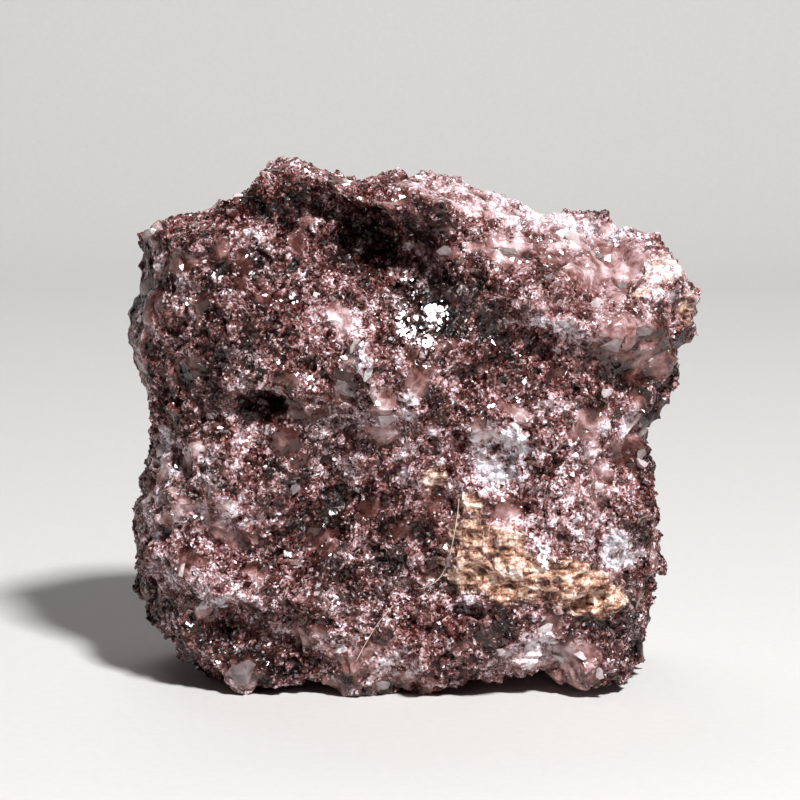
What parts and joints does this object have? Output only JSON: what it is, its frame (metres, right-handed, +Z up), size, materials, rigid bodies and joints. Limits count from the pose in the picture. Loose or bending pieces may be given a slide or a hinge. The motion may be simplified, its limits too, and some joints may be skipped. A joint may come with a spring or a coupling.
{
  "type": "lepidolite hand specimen",
  "caption": "Broken lump of massive lilac mica grown with grey quartz: blocky, with an overhanging brow, dark pits, ledges, a pale crown and rusty stains. Stands on its level base.",
  "frame": {"origin": "on the surface that the stone stands on, under the middle of its bounding box", "axes": "+Z up, +X to the right and -Y towards the viewer of the pictured face"},
  "size_m": [0.0622, 0.041, 0.0557],
  "materials": {
    "lepidolite": "granular broken mica, sparkling, with glassy quartz grains"
  },
  "bodies": {
    "root": {"lepidolite_specimen": "lepidolite"}
  },
  "joints": []
}
